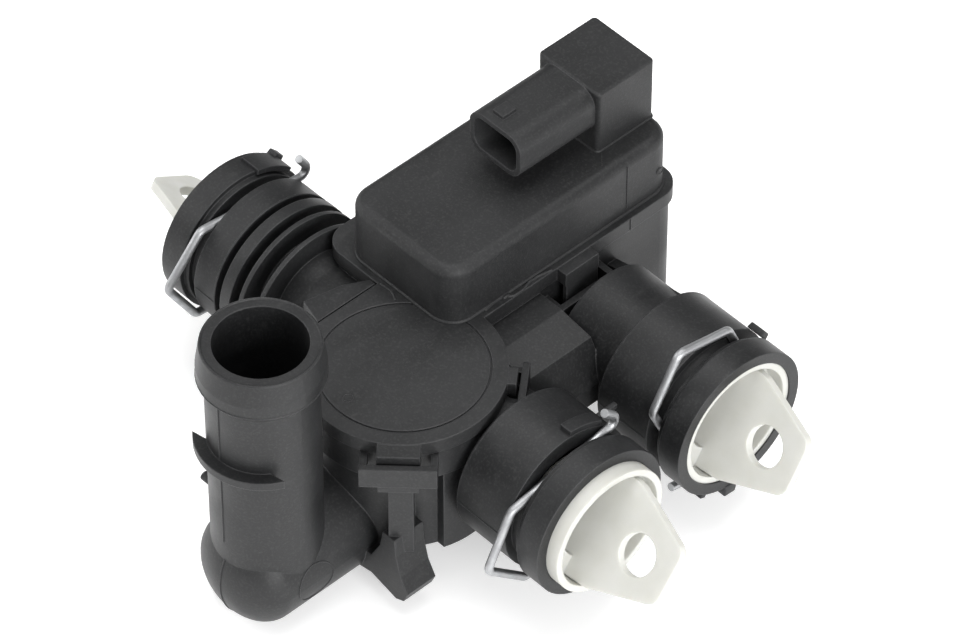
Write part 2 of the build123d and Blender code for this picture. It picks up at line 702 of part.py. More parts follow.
with BuildPart() as motor_armature:
    with BuildSketch(Plane.XY.offset(CAN_BOTTOM + 2.5)):
        with Locations(CENTRE_M):
            Circle(6.9)
            with PolarLocations(5.2, 3):
                RectangleRounded(5.0, 1.8, 0.8, mode=Mode.SUBTRACT)
            Circle(SHAFT_RADIUS, mode=Mode.SUBTRACT)
    extrude(amount=9.0)
    with BuildSketch(Plane.XY.offset(CAN_BOTTOM + 11.5)):
        with Locations(CENTRE_M):
            Circle(2.5)
            Circle(SHAFT_RADIUS, mode=Mode.SUBTRACT)
    extrude(amount=3.3)
keep(motor_armature.part, "motor_armature")

keep(motor_disc(SHAFT_RADIUS, CAN_BOTTOM + 0.1, 37.3), "motor_shaft")

with BuildPart() as motor_pinion:
    with BuildSketch(Plane.XY.offset(33.8)):
        with Locations(CENTRE_M):
            add(gear_outline(MOTOR_TEETH))
            Circle(SHAFT_RADIUS, mode=Mode.SUBTRACT)
    extrude(amount=3.2)
keep(motor_pinion.part, "motor_pinion")


# ---------------------------------------------------------------- gears
TURN_A = meshed_turn(ANGLE_M + 180, MOTOR_TEETH, 0, GEAR_A[0])
TURN_B = meshed_turn(ANGLE_A + 180, GEAR_A[1], 0, GEAR_B[0])
TURN_C = meshed_turn(ANGLE_B + 180, GEAR_B[1], 0, GEAR_C[0])
TURN_OUT = meshed_turn(ANGLE_C + 180, GEAR_C[1], 0, OUTPUT_TEETH)


def double_gear(centre, teeth, turn, wheel_heights, pinion_heights):
    """Wheel and pinion in one moulding, running on a fixed steel axle."""
    with BuildPart() as gear:
        with BuildSketch(Plane.XY.offset(wheel_heights[0])):
            with Locations(centre):
                add(gear_outline(teeth[0]), rotation=turn)
        extrude(amount=wheel_heights[1] - wheel_heights[0])
        with BuildSketch(Plane.XY.offset(pinion_heights[0])):
            with Locations(centre):
                add(gear_outline(teeth[1]))
        extrude(amount=pinion_heights[1] - pinion_heights[0])
        with BuildSketch(Plane.XY.offset(min(wheel_heights[0], pinion_heights[0]))):
            with Locations(centre):
                Circle(AXLE_RADIUS + 0.04)
        extrude(amount=20, mode=Mode.SUBTRACT)
    return gear.part


def gear_axle(centre, bottom, top):
    with BuildPart() as axle:
        with BuildSketch(Plane.XY.offset(bottom)):
            with Locations(centre):
                Circle(AXLE_RADIUS)
        extrude(amount=top - bottom)
    return axle.part


keep(double_gear(CENTRE_A, GEAR_A, TURN_A, (34.2, 36.4), (29.6, 34.2)), "gear_a")
keep(gear_axle(CENTRE_A, BAY_FLOOR - 1.2, 37.2), "gear_a_axle")
keep(double_gear(CENTRE_B, GEAR_B, TURN_B, (30.2, 32.4), (23.4, 30.2)), "gear_b")
keep(gear_axle(CENTRE_B, BAY_FLOOR - 1.2, 33.4), "gear_b_axle")
keep(double_gear(CENTRE_C, GEAR_C, TURN_C, (23.3, 25.5), (20.1, 23.3)), "gear_c")
keep(gear_axle(CENTRE_C, BAY_FLOOR - 1.2, 25.9), "gear_c_axle")

SHAFT = 3.0                 # radius of the rotor shaft

with BuildPart() as output_gear:
    with BuildSketch(Plane.XY.offset(20.3)):
        add(gear_outline(OUTPUT_TEETH), rotation=TURN_OUT)
    extrude(amount=2.5)
    with BuildSketch(Plane.XY.offset(22.8)):
        Circle(5.0)
        with Locations(polar_step((0, 0), STOP_RADIUS, STOP_REST)):
            Rectangle(2.4, 2.4, rotation=STOP_REST)
    extrude(amount=1.4)
    with BuildSketch(Plane.XY.offset(20.3)):
        Circle(SHAFT)
        with Locations((SHAFT, 0)):
            Rectangle(1.2, 6, mode=Mode.SUBTRACT)
    extrude(amount=4, mode=Mode.SUBTRACT)
    with BuildSketch(Plane.XY.offset(20.3)):
        with PolarLocations(8.8, 6):
            Circle(2.4)
    extrude(amount=4, mode=Mode.SUBTRACT)
keep(output_gear.part, "output_gear")

with BuildPart() as gear_screw:
    with BuildSketch(Plane.XY.offset(24.2)):
        Circle(2.6)
        Rectangle(3.4, 0.6, mode=Mode.SUBTRACT)
        Rectangle(0.6, 3.4, mode=Mode.SUBTRACT)
    extrude(amount=1.3)
    with BuildSketch(Plane.XY.offset(18)):
        Circle(1.1)
    extrude(amount=6.6)
keep(gear_screw.part, "gear_screw")


# ---------------------------------------------------------------- rotor and its seals
WINDOW_ANGLE = 20.0         # rest direction of the rotor window, towards the front socket
DRUM_RADIUS = 12.2

with BuildPart() as rotor:
    with BuildSketch(Plane.XY.offset(CHAMBER_FLOOR + 0.2)):
        Circle(DRUM_RADIUS)
    extrude(amount=16.0 - CHAMBER_FLOOR - 0.2)
    with BuildSketch(Plane.XY.offset(CHAMBER_FLOOR)):
        Circle(DRUM_RADIUS - 1.8)
    extrude(amount=14.6 - CHAMBER_FLOOR, mode=Mode.SUBTRACT)
    # four ribs join the drum wall to the hub
    with BuildSketch(Plane.XY.offset(10.6)):
        with PolarLocations(0, 4, start_angle=WINDOW_ANGLE + 45):
            with Locations((6, 0)):
                Rectangle(11, 1.2)
        Circle(3.6)
    extrude(amount=4.2)
    with BuildSketch(Plane.XY.offset(16.0)):
        Circle(SHAFT)
    extrude(amount=4.3)
    with BuildSketch(Plane.XY.offset(20.3)):
        Circle(SHAFT)
        with Locations((SHAFT, 0)):
            Rectangle(1.2, 6, mode=Mode.SUBTRACT)
    extrude(amount=3.9)
    with BuildSketch(Plane.XY.offset(18)):
        Circle(1.1)
    extrude(amount=7, mode=Mode.SUBTRACT)
    # window that opens one outlet at a time
    window_plane = Plane(
        origin=(0, 0, FRONT_PORT[1]),
        x_dir=(-sin(radians(WINDOW_ANGLE)), cos(radians(WINDOW_ANGLE)), 0),
        z_dir=(cos(radians(WINDOW_ANGLE)), sin(radians(WINDOW_ANGLE)), 0),
    )
    with BuildSketch(window_plane.offset(7)):
        RectangleRounded(9.6, 8.4, 2.5)
    extrude(amount=8, mode=Mode.SUBTRACT)
keep(rotor.part, "rotor")

with BuildPart() as seal_liner:
    with BuildSketch(Plane.XY.offset(CHAMBER_FLOOR)):
        Circle(CHAMBER_RADIUS)
        Circle(DRUM_RADIUS + 0.06, mode=Mode.SUBTRACT)
    extrude(amount=14.2)
    for plane, port, length in (
        (Plane.YZ, FRONT_PORT, 20),
        (Plane.YZ, LEFT_PORT, -20),
        (Plane.XZ, REAR_DUCT, -20),
    ):
        with BuildSketch(plane):
            with Locations(port[:2]):
                Circle(port[2])
        extrude(amount=length, mode=Mode.SUBTRACT)
keep(seal_liner.part, "seal_liner")

with BuildPart() as thrust_washer:
    with BuildSketch(Plane.XY.offset(16.05)):
        Circle(6.0)
        Circle(SHAFT + 0.04, mode=Mode.SUBTRACT)
    extrude(amount=CHAMBER_TOP - 16.05)
keep(thrust_washer.part, "thrust_washer")

with BuildPart() as chamber_cover:
    with BuildSketch(Plane.XY.offset(CHAMBER_TOP)):
        Circle(14.35)
        Circle(4.4, mode=Mode.SUBTRACT)
    extrude(amount=GEAR_FLOOR - CHAMBER_TOP)
    with BuildSketch(Plane.XY.offset(18.5)):
        Circle(5.4)
    extrude(amount=2, mode=Mode.SUBTRACT)
    with BuildSketch(Plane.XY.offset(17.74)):
        Circle(15)
        Circle(12.85, mode=Mode.SUBTRACT)
    extrude(amount=1.52, mode=Mode.SUBTRACT)
keep(chamber_cover.part, "chamber_cover")

with BuildPart() as chamber_oring:
    with BuildSketch(Plane.XZ):
        with Locations((13.62, 18.5)):
            Circle(0.75)
    revolve(axis=Axis.Z)
keep(chamber_oring.part, "chamber_oring")

with BuildPart() as shaft_bush:
    with BuildSketch(Plane.XY.offset(CHAMBER_TOP)):
        Circle(4.4)
        Circle(SHAFT + 0.04, mode=Mode.SUBTRACT)
    extrude(amount=1.1)
keep(shaft_bush.part, "shaft_bush")

with BuildPart() as shaft_seal:
    with BuildSketch(Plane.XY.offset(18.5)):
        Circle(5.4)
        Circle(SHAFT + 0.02, mode=Mode.SUBTRACT)
    extrude(amount=1.1)
    with BuildSketch(Plane.XY.offset(19.1)):
        Circle(4.6)
        Circle(3.6, mode=Mode.SUBTRACT)
    extrude(amount=0.5, mode=Mode.SUBTRACT)
keep(shaft_seal.part, "shaft_seal")


# ---------------------------------------------------------------- socket pieces
def socket_oring(socket):
    """Rubber ring in the groove of the sealing bore."""
    with BuildPart() as ring:
        across = Plane(
            origin=(socket.mouth - socket.side * ORING_DEPTH, socket.y, SOCKET_HEIGHT),
            x_dir=(0, 1, 0),
            z_dir=(0, 0, 1),
        )
        with BuildSketch(across):
            with Locations((11.38, 0)):
                Circle(1.1)
        revolve(axis=Axis((socket.mouth, socket.y, SOCKET_HEIGHT), (1, 0, 0)))
    return ring.part


def wire_clip(socket):
    """Open loop of spring wire: two legs in the slots, a pointed pull loop, and two hooked ends."""
    with BuildPart() as clip:
        with BuildLine() as path:
            FilletPolyline(
                (-10.6, 14.6), (-14.2, CLIP_LEG), (12.6, CLIP_LEG), (19.9, 0),
                (12.6, -CLIP_LEG), (-14.2, -CLIP_LEG), (-10.6, -14.6), radius=1.6,
            )
        with BuildSketch(Plane(origin=path.line @ 0, z_dir=path.line % 0)):
            Circle(CLIP_WIRE)
        sweep()
    return clip.part.moved(socket.plane(CLIP_DEPTH, socket.clip_angle).location)


def transport_plug(socket):
    """Soft cup pushed into the mouth, with a flat pull tab standing out of it."""
    tab_thickness = 1.8
    tab_tip = 14.9
    tab_hole = 7.2
    with BuildPart() as plug:
        with BuildSketch(socket.plane(0.3 - socket.plug_out)):
            Circle(MOUTH_RADIUS - 0.05)
        extrude(amount=-4.9)
        with BuildSketch(socket.plane(5.2 - socket.plug_out)):
            Circle(8.8)
        extrude(amount=-7.4)
        with BuildSketch(socket.plane(0.3 - socket.plug_out)):
            Circle(11.3)
        extrude(amount=-3.7, mode=Mode.SUBTRACT)
        with BuildSketch(socket.plane(4.0 - socket.plug_out)):
            Circle(7.5)
        extrude(amount=-7.6, mode=Mode.SUBTRACT)
        # tab profile seen from its flat side: u across the mouth, v out of it
        mouth = socket.plane(-socket.plug_out, socket.tab_angle)
        side_on = Plane(origin=mouth.origin, x_dir=mouth.x_dir, z_dir=-mouth.y_dir)
        with BuildSketch(side_on):
            with BuildLine():
                Polyline(
                    (-7.4, -11.8), (-7.6, -4.1), (-11.1, -4.1), (-10.6, 1.5), (-5.5, tab_tip),
                    (5.5, tab_tip), (10.6, 1.5), (11.1, -4.1), (7.6, -4.1), (7.4, -11.8),
                    close=True,
                )
            outline = make_face()
            fillet(outline.vertices().sort_by(Axis.Y)[-2:], 2.6)
            with Locations((0, tab_hole)):
                Circle(3.9, mode=Mode.SUBTRACT)
        extrude(amount=tab_thickness / 2, both=True)
    return plug.part


for socket in SOCKETS:
    keep(socket_oring(socket), f"oring_{socket.name}")
    keep(wire_clip(socket), f"clip_{socket.name}")
    keep(transport_plug(socket), f"plug_{socket.name}")


# ---------------------------------------------------------------- export
os.makedirs("parts", exist_ok=True)
for part in parts:
    export_step(part, f"parts/{part.label}.step")
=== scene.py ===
"""Looks for the coolant diverter valve: surface materials, small moulded details, light and camera."""
import json
import math

import bmesh
import bpy
from mathutils import Matrix, Vector


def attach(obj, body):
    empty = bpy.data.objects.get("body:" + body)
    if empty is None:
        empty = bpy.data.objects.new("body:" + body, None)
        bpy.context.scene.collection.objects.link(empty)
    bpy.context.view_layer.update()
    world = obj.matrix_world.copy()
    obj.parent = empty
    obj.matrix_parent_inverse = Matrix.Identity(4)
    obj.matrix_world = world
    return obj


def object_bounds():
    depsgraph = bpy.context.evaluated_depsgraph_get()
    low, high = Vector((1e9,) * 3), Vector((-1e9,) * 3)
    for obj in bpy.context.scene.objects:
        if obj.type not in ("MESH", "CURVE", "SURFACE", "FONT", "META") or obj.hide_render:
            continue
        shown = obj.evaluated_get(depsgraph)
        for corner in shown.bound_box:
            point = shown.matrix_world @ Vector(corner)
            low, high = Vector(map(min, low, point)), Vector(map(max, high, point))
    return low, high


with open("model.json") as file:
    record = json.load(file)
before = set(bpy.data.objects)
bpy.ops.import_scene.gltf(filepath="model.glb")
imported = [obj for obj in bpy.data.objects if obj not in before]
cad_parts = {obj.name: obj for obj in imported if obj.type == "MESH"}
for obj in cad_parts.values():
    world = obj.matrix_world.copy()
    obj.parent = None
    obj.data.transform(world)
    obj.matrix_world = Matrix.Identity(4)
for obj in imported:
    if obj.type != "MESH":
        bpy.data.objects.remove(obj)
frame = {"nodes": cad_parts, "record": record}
cad_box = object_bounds()
MM = 0.001


# ---------------------------------------------------------------- node helpers
class Look:
    """A material being wired up: keeps the tree, the shader and the object coordinates."""

    def __init__(self, name, colour, roughness, metallic=0.0):
        self.material = bpy.data.materials.new(name)
        self.material.use_nodes = True
        self.tree = self.material.node_tree
        self.shader = self.tree.nodes["Principled BSDF"]
        self.shader.inputs["Base Color"].default_value = (*colour, 1)
        self.shader.inputs["Roughness"].default_value = roughness
        self.shader.inputs["Metallic"].default_value = metallic
        self.colour = (*colour, 1)
        self.place = self.tree.nodes.new("ShaderNodeTexCoord").outputs["Object"]
        self.bevel = self.tree.nodes.new("ShaderNodeBevel")
        self.bevel.samples = 4
        self.bevel.inputs["Radius"].default_value = 0.2 * MM
        self.normal = self.bevel.outputs["Normal"]
        self.link(self.normal, self.shader.inputs["Normal"])

    def link(self, source, target):
        self.tree.links.new(source, target)

    def stretched(self, scale):
        """Object coordinates scaled per axis, for patterns that run along one direction."""
        mapping = self.tree.nodes.new("ShaderNodeMapping")
        mapping.inputs["Scale"].default_value = scale
        self.link(self.place, mapping.inputs["Vector"])
        return mapping.outputs["Vector"]

    def noise(self, size, detail=3.0, vector=None):
        """Cloudy pattern whose blobs are about size metres across."""
        noise = self.tree.nodes.new("ShaderNodeTexNoise")
        noise.inputs["Scale"].default_value = 1 / size
        noise.inputs["Detail"].default_value = detail
        self.link(vector or self.place, noise.inputs["Vector"])
        return noise.outputs["Fac"]

    def cells(self, size):
        cells = self.tree.nodes.new("ShaderNodeTexVoronoi")
        cells.inputs["Scale"].default_value = 1 / size
        self.link(self.place, cells.inputs["Vector"])
        return cells.outputs["Distance"]

    def bands(self, size, direction):
        bands = self.tree.nodes.new("ShaderNodeTexWave")
        bands.bands_direction = direction
        bands.inputs["Scale"].default_value = 0.3 / size
        bands.inputs["Distortion"].default_value = 0.4
        self.link(self.place, bands.inputs["Vector"])
        return bands.outputs["Fac"]

    def remap(self, value, low, high, start=0.35, end=0.65):
        """Stretch a pattern's middle range to run from low to high."""
        remap = self.tree.nodes.new("ShaderNodeMapRange")
        remap.inputs["From Min"].default_value = start
        remap.inputs["From Max"].default_value = end
        remap.inputs["To Min"].default_value = low
        remap.inputs["To Max"].default_value = high
        self.link(value, remap.inputs["Value"])
        return remap.outputs["Result"]

    def edges(self):
        """1 on sharp edges and 0 on open surfaces, from how far the bevel turns the normal."""
        geometry = self.tree.nodes.new("ShaderNodeNewGeometry")
        dot = self.tree.nodes.new("ShaderNodeVectorMath")
        dot.operation = "DOT_PRODUCT"
        self.link(geometry.outputs["Normal"], dot.inputs[0])
        self.link(self.bevel.outputs["Normal"], dot.inputs[1])
        return self.remap(dot.outputs["Value"], 1.0, 0.0, 0.85, 0.995)

    def tint(self, factor, colour, amount=1.0):
        """Mix another colour over what the shader has now, where the factor is high."""
        mix = self.tree.nodes.new("ShaderNodeMix")
        mix.data_type = "RGBA"
        base = self.shader.inputs["Base Color"]
        if base.is_linked:
            self.link(base.links[0].from_socket, mix.inputs["A"])
        else:
            mix.inputs["A"].default_value = self.colour
        mix.inputs["B"].default_value = (*colour, 1)
        self.link(self.remap(factor, 0.0, amount, 0.0, 1.0), mix.inputs["Factor"])
        self.link(mix.outputs["Result"], base)

    def rough(self, pattern, low, high, start=0.35, end=0.65):
        self.link(self.remap(pattern, low, high, start, end), self.shader.inputs["Roughness"])

    def bump(self, height, depth, strength=1.0):
        """Press a pattern into the surface, on top of the rounded edges and earlier bumps."""
        bump = self.tree.nodes.new("ShaderNodeBump")
        bump.inputs["Distance"].default_value = depth
        bump.inputs["Strength"].default_value = strength
        self.link(height, bump.inputs["Height"])
        self.link(self.normal, bump.inputs["Normal"])
        self.normal = bump.outputs["Normal"]
        self.link(self.normal, self.shader.inputs["Normal"])


# ---------------------------------------------------------------- materials
PIGMENT = 0.25   # share of the record's colour that is pigment; the rest of its grey is surface sheen


def moulded_nylon(name, colour, roughness, grain):
    """Glass-filled black moulding: eroded grain, flow marks, dull scuffs, and pale edges that are
    partly a painted edge highlight and partly edge wear.
    """
    pigment = tuple(PIGMENT * c for c in colour)
    look = Look(name, pigment, roughness)
    look.bevel.inputs["Radius"].default_value = 0.35 * MM
    flow = look.noise(9 * MM, 4.0, look.stretched((1.0, 0.45, 0.8)))
    look.tint(look.remap(flow, 0.0, 0.4), tuple(2.2 * c + 0.004 for c in pigment))
    scuff = look.noise(1.6 * MM, 8.0, look.stretched((1.0, 0.3, 0.6)))
    look.tint(look.remap(scuff, 0.0, 1.0, 0.6, 0.72), (0.06, 0.06, 0.06), 0.12)
    speckle = look.noise(0.45 * MM, 3.0)
    look.tint(look.remap(speckle, 0.0, 1.0, 0.5, 0.72), (0.05, 0.05, 0.05), 0.3)
    # pale tint on every sharp edge: a painted edge highlight, partly also edge wear
    look.tint(look.edges(), (0.08, 0.08, 0.083), 0.5)
    look.rough(flow, roughness - 0.07, roughness + 0.08)
    look.bump(look.noise(14 * MM, 2.0), 0.25 * MM, 0.12)
    look.bump(look.noise(0.28 * MM, 2.0), 1.5 * grain, 0.9)
    look.bump(look.cells(0.11 * MM), 0.4 * grain, 0.6)
    look.shader.inputs["Specular IOR Level"].default_value = 0.36
    return look.material


def milky_polyethylene(name, colour):
    """Soft plug plastic: light soaks in, faint flow lines, cloudy patches and small dents."""
    look = Look(name, tuple(0.68 * c for c in colour), 0.42)
    look.bevel.inputs["Radius"].default_value = 0.4 * MM
    look.shader.inputs["Subsurface Weight"].default_value = 0.35
    look.shader.inputs["Subsurface Radius"].default_value = (2.2 * MM, 2.1 * MM, 1.8 * MM)
    look.shader.inputs["Subsurface Scale"].default_value = 1.0
    cloud = look.noise(5 * MM, 3.0)
    look.tint(look.remap(cloud, 0.0, 0.5), (0.48, 0.48, 0.44))
    look.rough(cloud, 0.36, 0.5)
    look.bump(look.noise(4 * MM, 2.0), 0.3 * MM, 0.2)
    look.bump(look.noise(0.4 * MM, 3.0), 0.02 * MM, 0.6)
    return look.material


def drawn_wire(name, colour):
    """Spring wire: bright steel with fine drawing lines and dull bent spots."""
    look = Look(name, tuple(0.8 * c for c in colour), 0.5, 1.0)
    look.shader.inputs["Anisotropic"].default_value = 0.4
    dull = look.noise(2.5 * MM, 4.0)
    look.tint(look.remap(dull, 0.0, 0.55), (0.3, 0.3, 0.31))
    look.rough(dull, 0.42, 0.6)
    look.bump(look.noise(0.25 * MM, 2.0, look.stretched((1.0, 0.2, 1.0))), 0.01 * MM, 0.7)
    return look.material


def metal(name, colour, roughness, grain):
    """Small turned or pressed metal piece with tool marks and tarnish."""
    look = Look(name, colour, roughness, 1.0)
    tarnish = look.noise(1.2 * MM, 5.0)
    look.tint(look.remap(tarnish, 0.0, 0.5), tuple(0.55 * c for c in colour))
    look.rough(tarnish, roughness - 0.08, roughness + 0.14)
    look.bump(look.noise(grain, 2.0, look.stretched((1.0, 1.0, 0.15))), 0.006 * MM, 0.8)
    return look.material


def laminated_steel(name, colour):
    """Stack of thin sheets, seen as fine level lines."""
    look = Look(name, colour, 0.45, 1.0)
    sheets = look.bands(0.5 * MM, "Z")
    look.tint(look.remap(sheets, 0.6, 0.0, 0.0, 0.4), (0.1, 0.09, 0.08))
    look.rough(look.noise(0.8 * MM), 0.38, 0.55)
    look.bump(sheets, 0.05 * MM, 0.8)
    return look.material


def moulded_rubber(name, colour):
    """Matt rubber with bloom, moulding skin and a little dust."""
    look = Look(name, colour, 0.8)
    bloom = look.noise(2 * MM, 5.0)
    look.tint(look.remap(bloom, 0.0, 0.3), (0.09, 0.09, 0.09))
    look.rough(bloom, 0.68, 0.9)
    look.bump(look.noise(0.2 * MM, 3.0), 0.02 * MM, 0.9)
    return look.material


def acetal(name, colour):
    """Slippery gear plastic with a slight sheen and ejector haze."""
    look = Look(name, colour, 0.32)
    look.shader.inputs["Subsurface Weight"].default_value = 0.12
    look.shader.inputs["Subsurface Radius"].default_value = (1 * MM, 1 * MM, 1 * MM)
    haze = look.noise(3 * MM, 4.0)
    look.tint(look.remap(haze, 0.0, 0.3), tuple(0.8 * c for c in colour))
    look.rough(haze, 0.25, 0.42)
    look.bump(look.noise(0.3 * MM, 2.0), 0.01 * MM, 0.6)
    return look.material


def ferrite(name, colour):
    """Sintered magnet: pitted and granular."""
    look = Look(name, colour, 0.6)
    grains = look.cells(0.25 * MM)
    look.tint(look.remap(grains, 0.4, 0.0, 0.1, 0.5), (0.2, 0.2, 0.2))
    look.rough(look.noise(0.6 * MM), 0.5, 0.75)
    look.bump(grains, 0.03 * MM, 0.8)
    return look.material


def board_laminate(name, colour):
    """Solder mask over raised copper tracks."""
    look = Look(name, colour, 0.35)
    tracks = look.tree.nodes.new("ShaderNodeTexBrick")
    tracks.inputs["Scale"].default_value = 420
    tracks.inputs["Mortar Size"].default_value = 0.06
    look.link(look.place, tracks.inputs["Vector"])
    look.tint(tracks.outputs["Fac"], (0.06, 0.3, 0.12), 0.8)
    look.rough(look.noise(1 * MM), 0.28, 0.42)
    look.bump(tracks.outputs["Fac"], 0.04 * MM, 0.8)
    return look.material


def component_plastic(name, colour):
    """Epoxy case of a board component, with a fine sandy skin."""
    look = Look(name, colour, 0.5)
    grit = look.noise(0.15 * MM, 4.0)
    look.tint(look.remap(grit, 0.0, 0.3), (0.09, 0.09, 0.09))
    look.rough(grit, 0.42, 0.6)
    look.bump(grit, 0.01 * MM, 0.8)
    return look.material


def build_materials(record):
    """One material for every slot named in the record."""
    colours = {m["slot"]: tuple(m["base_color"][:3]) for m in record["materials"]}
    makers = {
        "body_nylon": lambda n, c: moulded_nylon(n, c, 0.47, 0.014 * MM),
        "plate_nylon": lambda n, c: moulded_nylon(n, c, 0.5, 0.012 * MM),
        "cover_nylon": lambda n, c: moulded_nylon(n, c, 0.56, 0.02 * MM),
        "rotor_plastic": lambda n, c: moulded_nylon(n, c, 0.5, 0.01 * MM),
        "tinned_contact": lambda n, c: metal(n, c, 0.28, 0.2 * MM),
        "zinc_steel": lambda n, c: metal(n, c, 0.36, 0.5 * MM),
        "bright_steel": lambda n, c: metal(n, c, 0.22, 0.2 * MM),
        "brush_brass": lambda n, c: metal(n, c, 0.3, 0.3 * MM),
        "spring_wire": drawn_wire,
        "armature_steel": laminated_steel,
        "seal_rubber": moulded_rubber,
        "board_laminate": board_laminate,
        "component_black": component_plastic,
        "ferrite": ferrite,
        "white_acetal": acetal,
        "dark_acetal": acetal,
        "plug_polyethylene": milky_polyethylene,
    }
    return {slot: makers[slot]("look_" + slot, colours[slot]) for slot in colours}


materials = build_materials(frame["record"])
slot_of = {part["node"]: part["material_slot"] for part in frame["record"]["subparts"]}


def dress(thing, slot_name):
    """Give an object its material through the object's own slot."""
    if not thing.material_slots:
        thing.data.materials.append(None)
    for material_slot in thing.material_slots:
        material_slot.link = "OBJECT"
        material_slot.material = materials[slot_name]


def smooth_where_round(thing, limit=math.radians(28)):
    """Shade smoothly across curved walls but keep real edges crisp."""
    for polygon in thing.data.polygons:
        polygon.use_smooth = True
    thing.data.set_sharp_from_angle(angle=limit)


for node_name, node in frame["nodes"].items():
    dress(node, slot_of[node_name])
    smooth_where_round(node)


# ---------------------------------------------------------------- small moulded details
def place_piece(thing, body, slot_name):
    """Join a finished detail to its body and give it its finish."""
    dress(thing, slot_name)
    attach(thing, body)
    return thing


def bead(name, points, radius, slot_name, body="housing", closed=False):
    """Thin raised line along a path, such as a mould seam; points are in millimetres."""
    curve = bpy.data.curves.new(name, "CURVE")
    curve.dimensions = "3D"
    curve.bevel_depth = radius * MM
    curve.bevel_resolution = 2
    curve.use_fill_caps = True
    spline = curve.splines.new("POLY")
    spline.points.add(len(points) - 1)
    for target, point in zip(spline.points, points):
        target.co = (*(Vector(point) * MM), 1)
    spline.use_cyclic_u = closed
    thing = bpy.data.objects.new(name, curve)
    bpy.context.scene.collection.objects.link(thing)
    return place_piece(thing, body, slot_name)


def block(name, centre, size, slot_name, body="housing", turn=(0, 0, 0), round_off=0.35, taper=1.0):
    """Small rounded lug, narrower at its local +z end when taper is below 1; millimetres, degrees."""
    mesh = bpy.data.meshes.new(name)
    shape = bmesh.new()
    bmesh.ops.create_cube(shape, size=1.0)
    for vert in shape.verts:
        narrow = taper if vert.co.z > 0 else 1.0
        across, around, out = vert.co
        vert.co = Vector((across * size[0] * narrow, around * size[1] * narrow, out * size[2]))
    edges = shape.edges[:]
    bmesh.ops.bevel(shape, geom=edges, offset=round_off, segments=3, affect="EDGES", profile=0.6)
    rotation = Matrix.Rotation(math.radians(turn[2]), 4, "Z")
    rotation @= Matrix.Rotation(math.radians(turn[1]), 4, "Y")
    rotation @= Matrix.Rotation(math.radians(turn[0]), 4, "X")
    shape.transform(Matrix.Scale(MM, 4) @ Matrix.Translation(centre) @ rotation)
    shape.to_mesh(mesh)
    shape.free()
    for polygon in mesh.polygons:
        polygon.use_smooth = True
    thing = bpy.data.objects.new(name, mesh)
    bpy.context.scene.collection.objects.link(thing)
    return place_piece(thing, body, slot_name)


def curved_plate(name, axis_point, x_range, radii, angles, slot_name, body="housing", steps=12):
    """Raised pad on a barrel whose axis runs along X; millimetres, degrees from +Y towards +Z."""
    mesh = bpy.data.meshes.new(name)
    shape = bmesh.new()
    rings = []
    for step in range(steps + 1):
        angle = math.radians(angles[0] + (angles[1] - angles[0]) * step / steps)
        outward = Vector((0, math.cos(angle), math.sin(angle)))
        middle = Vector((0, *axis_point))
        ring = []
        for side, radius in zip((0, 1, 1, 0), (radii[0], radii[0], radii[1], radii[1])):
            ring.append(shape.verts.new(middle + Vector((x_range[side], 0, 0)) + outward * radius))
        rings.append(ring)
    for first, second in zip(rings, rings[1:]):
        for edge in range(4):
            after = (edge + 1) % 4
            shape.faces.new((first[edge], first[after], second[after], second[edge]))
    shape.faces.new(reversed(rings[0]))
    shape.faces.new(rings[-1])
    bmesh.ops.recalc_face_normals(shape, faces=shape.faces[:])
    shape.transform(Matrix.Scale(MM, 4))
    shape.to_mesh(mesh)
    shape.free()
    thing = bpy.data.objects.new(name, mesh)
    bpy.context.scene.collection.objects.link(thing)
    smooth_where_round(thing)
    return place_piece(thing, body, slot_name)


def arc_points(centre, radius, start, end, across, up, count=48):
    """Points on an arc in the plane of two unit vectors; degrees."""
    points = []
    for step in range(count + 1):
        angle = math.radians(start + (end - start) * step / count)
        direction = math.cos(angle) * Vector(across) + math.sin(angle) * Vector(up)
        points.append(Vector(centre) + radius * direction)
    return points


def rounded_loop(x_range, y_range, corner, z):
    """Closed path round a rectangle with round corners, level at height z."""
    points = []
    corners = ((x_range[1], y_range[1], 0), (x_range[0], y_range[1], 90),
               (x_range[0], y_range[0], 180), (x_range[1], y_range[0], 270))
    for x, y, start in corners:
        inwards_x = math.copysign(corner, sum(x_range) / 2 - x)
        inwards_y = math.copysign(corner, sum(y_range) / 2 - y)
        centre = (x + inwards_x, y + inwards_y, z)
        points += arc_points(centre, corner, start, start + 90, (1, 0, 0), (0, 1, 0), 10)
    return points


X = (1, 0, 0)
Y = (0, 1, 0)
Z = (0, 0, 1)

# sizes shared with the CAD, in millimetres
SPIGOT = (-2.5, -30.1)
SPIGOT_RADIUS = 10.0
SPIGOT_TOP = 55.0
DUCT_HEIGHT = 1.2
DUCT_RADIUS = 10.7
DUCT_END_Y = -34.0          # the duct's rounded end starts here
DUCT_END_LENGTH = 7.4
SOCKET_HEIGHT = 15.0
BARREL_RADIUS = 14.85
FRONT_Y = 8.6
REAR_Y = 42.5
LEFT_Y = 9.2
SHOULDER_X = 19.8           # where the front and rear barrels start
LEFT_SHOULDER_X = -44.5
LID_TOP = 29.0
COVER_X = (-28.4, -0.6)
COVER_Y = (11.8, 66.2)
COVER_TOP = 42.0
PROUD = 0.02                # how far a seam's middle line stands off its wall


def ring(name, centre, radius, thickness, slot_name, across=X, up=Y, count=48):
    """Closed round bead in the plane of two unit vectors."""
    points = arc_points(centre, radius, 0, 360, across, up, count)
    bead(name, points[:-1], thickness, slot_name, closed=True)


